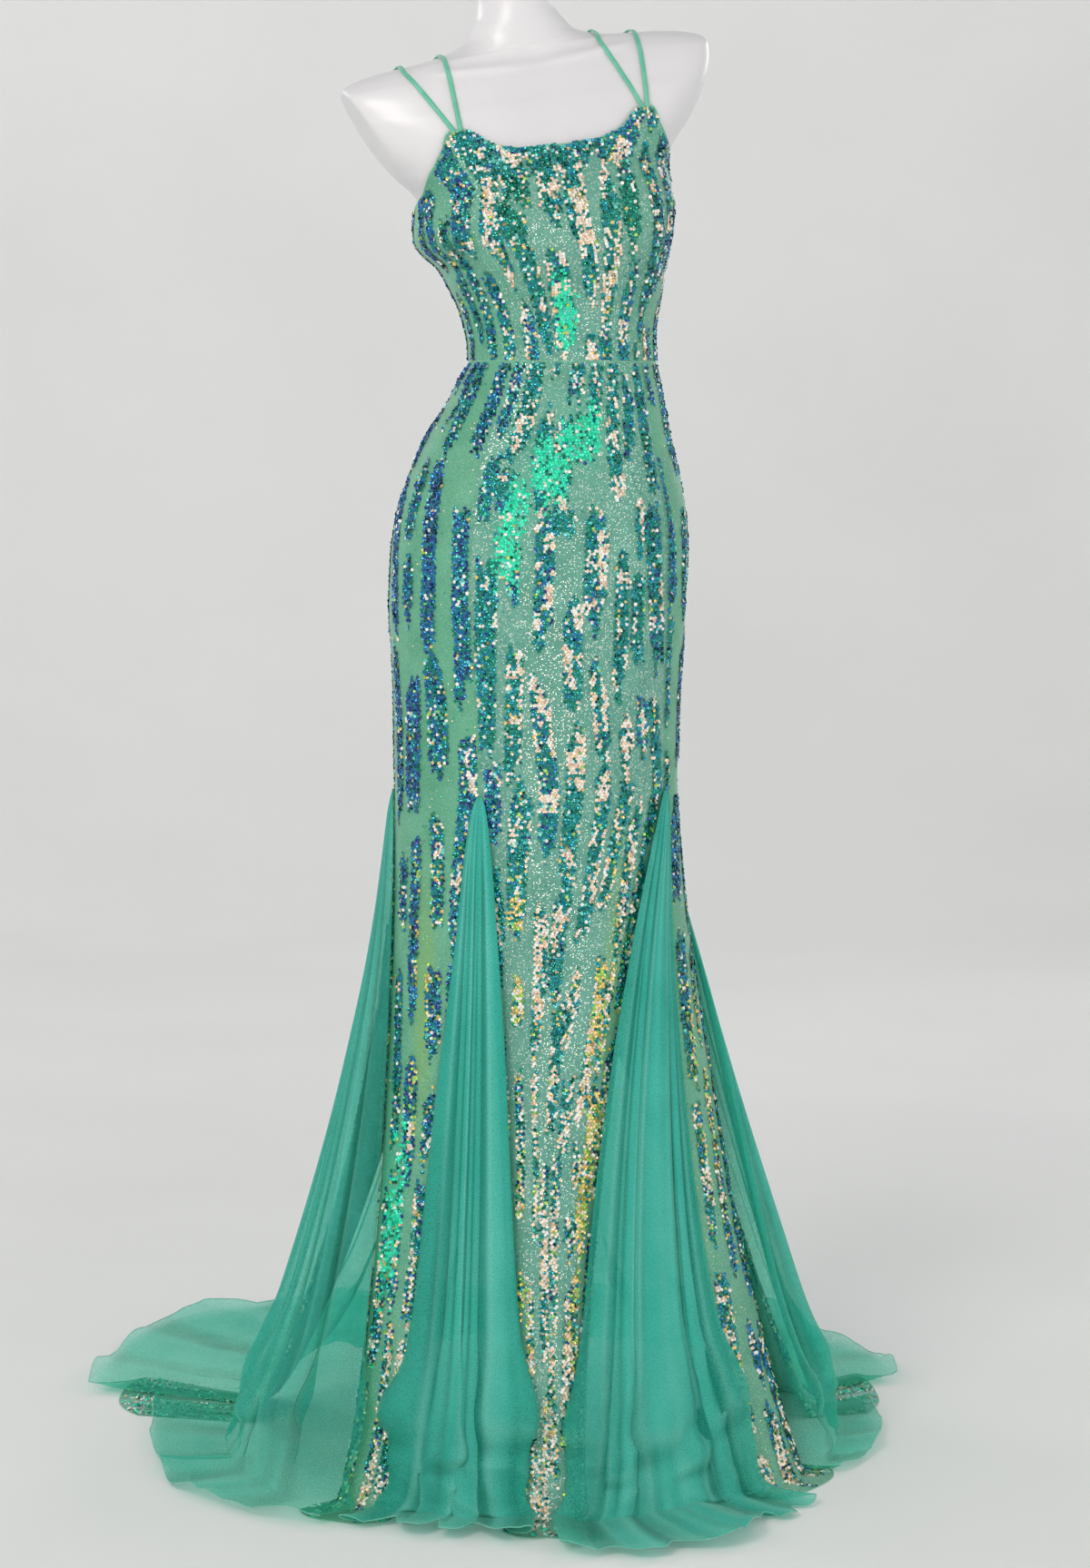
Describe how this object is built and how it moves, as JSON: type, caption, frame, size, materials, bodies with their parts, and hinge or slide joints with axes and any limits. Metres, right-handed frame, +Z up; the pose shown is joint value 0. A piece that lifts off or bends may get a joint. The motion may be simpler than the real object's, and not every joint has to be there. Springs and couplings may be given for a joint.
{
  "type": "evening gown on a dress form",
  "caption": "Fitted sequin mermaid gown with net godets and a train, on a limbless dress form with a pole and a round base.",
  "frame": {"origin": "on the floor, at the centre of the stand's base under the gown", "axes": "+Z up, the gown's front towards -Y, the wearer's left towards +X, the train towards +Y"},
  "size_m": [0.9441, 1.2002, 1.6668],
  "materials": {
    "sequin_mesh": "fine green glitter mesh sewn with streaks of blue, teal and iridescent gold sequins",
    "green_net": "soft sheer green tulle",
    "green_rouleau": "narrow tube of green satin",
    "white_form": "glossy white shell",
    "stand_steel": "brushed steel"
  },
  "bodies": {
    "root": {"bodice_front": "sequin_mesh", "bodice_back_left": "sequin_mesh", "bodice_back_right": "sequin_mesh", "skirt_front": "sequin_mesh", "skirt_side_left": "sequin_mesh", "skirt_side_right": "sequin_mesh", "skirt_back_left": "sequin_mesh", "skirt_back_right": "sequin_mesh", "godet_front_left": "green_net", "godet_front_right": "green_net", "godet_side_left": "green_net", "godet_side_right": "green_net", "godet_back": "green_net", "strap_left_inner": "green_rouleau", "strap_left_outer": "green_rouleau", "strap_right_inner": "green_rouleau", "strap_right_outer": "green_rouleau", "form_torso": "white_form", "form_pole": "stand_steel", "form_base": "stand_steel"}
  },
  "joints": []
}
